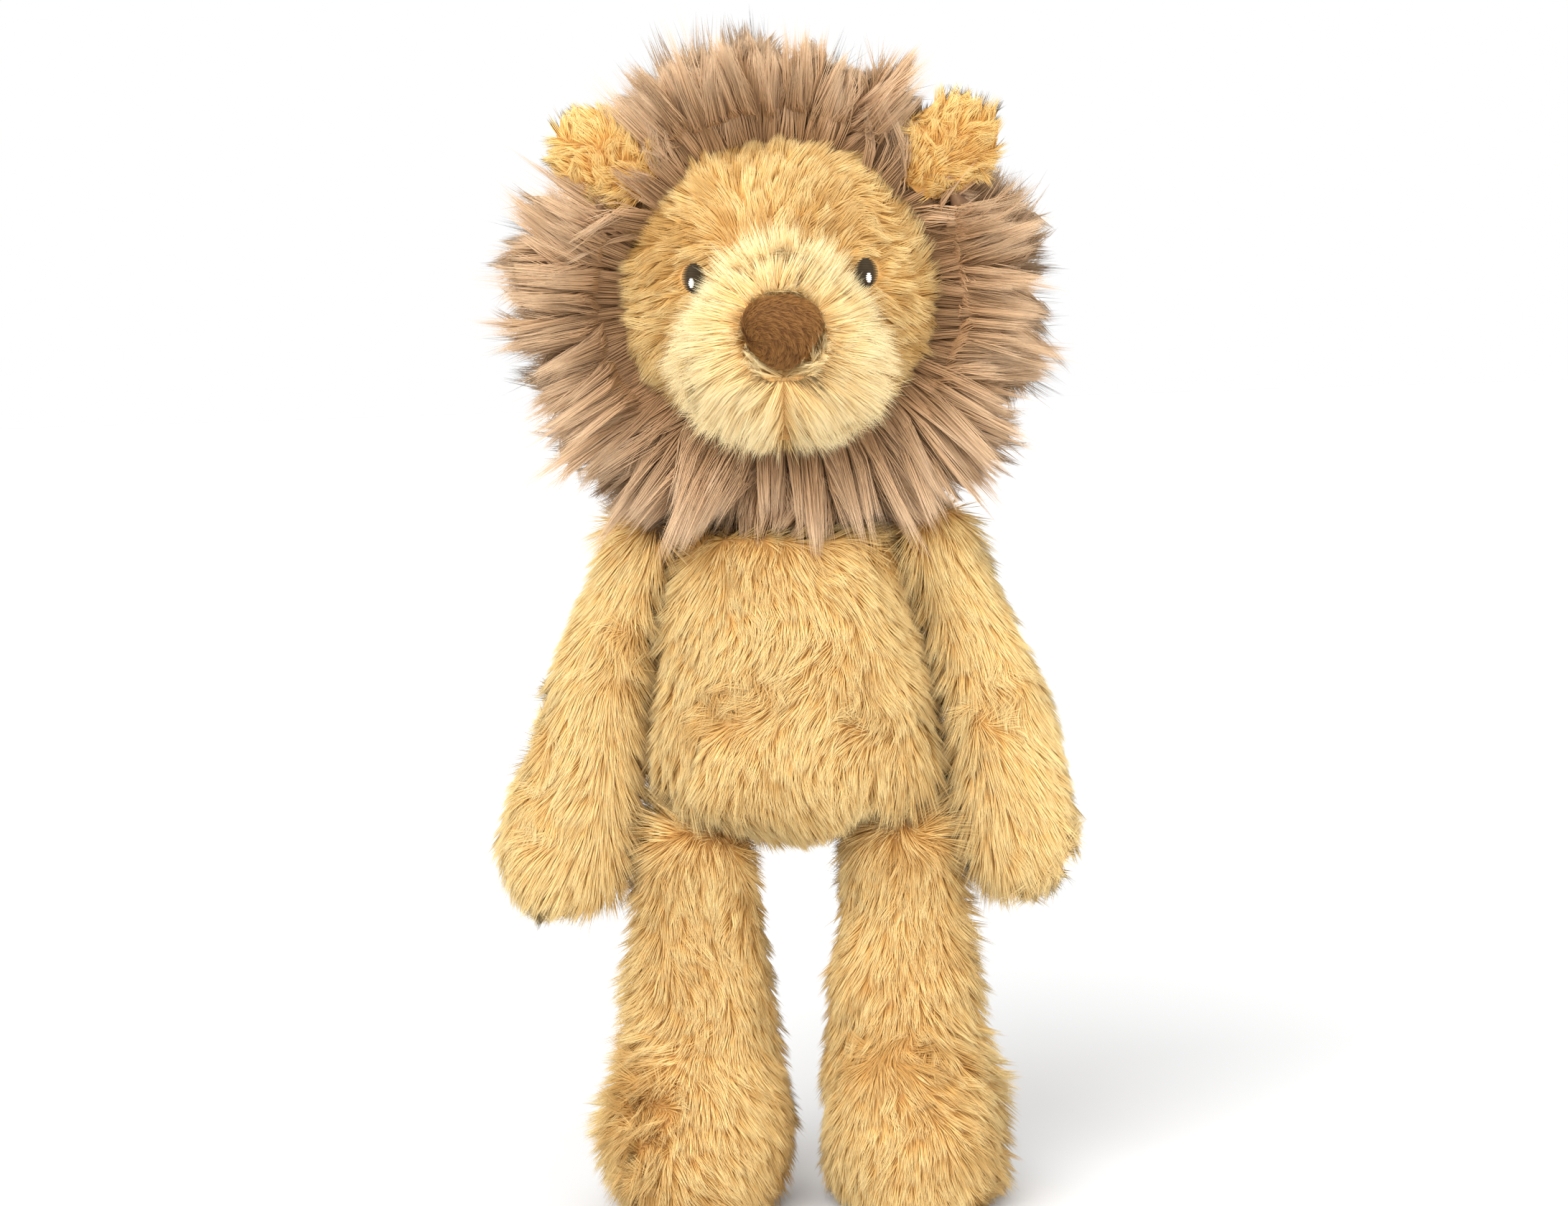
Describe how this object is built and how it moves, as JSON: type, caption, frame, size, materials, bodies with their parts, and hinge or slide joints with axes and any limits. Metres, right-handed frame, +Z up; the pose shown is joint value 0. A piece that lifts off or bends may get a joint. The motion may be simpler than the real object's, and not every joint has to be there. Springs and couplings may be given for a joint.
{
  "type": "plush lion",
  "caption": "Standing soft toy lion with a round face, long brown mane, hanging arms, flared legs and a tufted tail.",
  "frame": {"origin": "middle of the toy's box, on the floor under it", "axes": "+Z up, the lion faces -Y, its left side is at +X"},
  "size_m": [0.1944, 0.1768, 0.3874],
  "materials": {
    "golden_pile": "short curly plush pile with pale tips",
    "muzzle_pile": "longer straight plush pile, pale cream gold",
    "mane_pile": "long straight faux fur, taupe brown",
    "ear_pile": "short curly plush pile, deep gold",
    "nose_velour": "short velour",
    "eye_thread": "satin stitch embroidery",
    "white_thread": "satin stitch embroidery",
    "fibre_fill": "polyester fibre",
    "bag_cloth": "plain woven bag of pellets"
  },
  "bodies": {
    "torso": {"torso_skin": "golden_pile", "torso_stuffing": "fibre_fill", "seat_pellet_bag": "bag_cloth"},
    "neck": {"neck_skin": "mane_pile", "neck_stuffing": "fibre_fill"},
    "head": {"head_skin": "golden_pile", "head_stuffing": "fibre_fill", "muzzle_skin": "muzzle_pile", "muzzle_stuffing": "fibre_fill", "nose": "nose_velour", "eye_left": "eye_thread", "eye_left_highlight": "white_thread", "eye_right": "eye_thread", "eye_right_highlight": "white_thread", "ear_left_front": "ear_pile", "ear_left_back": "ear_pile", "ear_right_front": "ear_pile", "ear_right_back": "ear_pile", "mane": "mane_pile"},
    "tail": {"tail_skin": "golden_pile", "tail_stuffing": "fibre_fill", "tail_tuft": "mane_pile"},
    "arm_left": {"arm_left_skin": "golden_pile", "arm_left_stuffing": "fibre_fill"},
    "leg_left": {"leg_left_skin": "golden_pile", "leg_left_sole": "golden_pile", "leg_left_pellet_bag": "bag_cloth", "leg_left_stuffing": "fibre_fill"},
    "arm_right": {"arm_right_skin": "golden_pile", "arm_right_stuffing": "fibre_fill"},
    "leg_right": {"leg_right_skin": "golden_pile", "leg_right_sole": "golden_pile", "leg_right_pellet_bag": "bag_cloth", "leg_right_stuffing": "fibre_fill"}
  },
  "joints": [
    {"name": "neck_turn", "type": "hinge", "parent": "torso", "child": "neck", "pos_m": [0.00375, -0.00438, 0.215], "axis": [0, 0, 1], "range_deg": [-30, 30]},
    {"name": "head_nod", "type": "hinge", "parent": "neck", "child": "head", "pos_m": [0.00375, -0.00438, 0.215], "axis": [-1, 0, 0], "range_deg": [-10, 15]},
    {"name": "shoulder_left", "type": "hinge", "parent": "torso", "child": "arm_left", "pos_m": [0.05175, -0.00438, 0.225], "axis": [-1, 0, 0], "range_deg": [-30, 85]},
    {"name": "hip_left", "type": "hinge", "parent": "torso", "child": "leg_left", "pos_m": [0.03755, -0.00438, 0.119], "axis": [-1, 0, 0], "range_deg": [-25, 85]},
    {"name": "shoulder_right", "type": "hinge", "parent": "torso", "child": "arm_right", "pos_m": [-0.04425, -0.00438, 0.225], "axis": [-1, 0, 0], "range_deg": [-30, 85]},
    {"name": "hip_right", "type": "hinge", "parent": "torso", "child": "leg_right", "pos_m": [-0.03005, -0.00438, 0.119], "axis": [-1, 0, 0], "range_deg": [-25, 85]},
    {"name": "tail_lift", "type": "hinge", "parent": "torso", "child": "tail", "pos_m": [0.00375, 0.0364, 0.15], "axis": [1, 0, 0], "range_deg": [0, 40]}
  ]
}
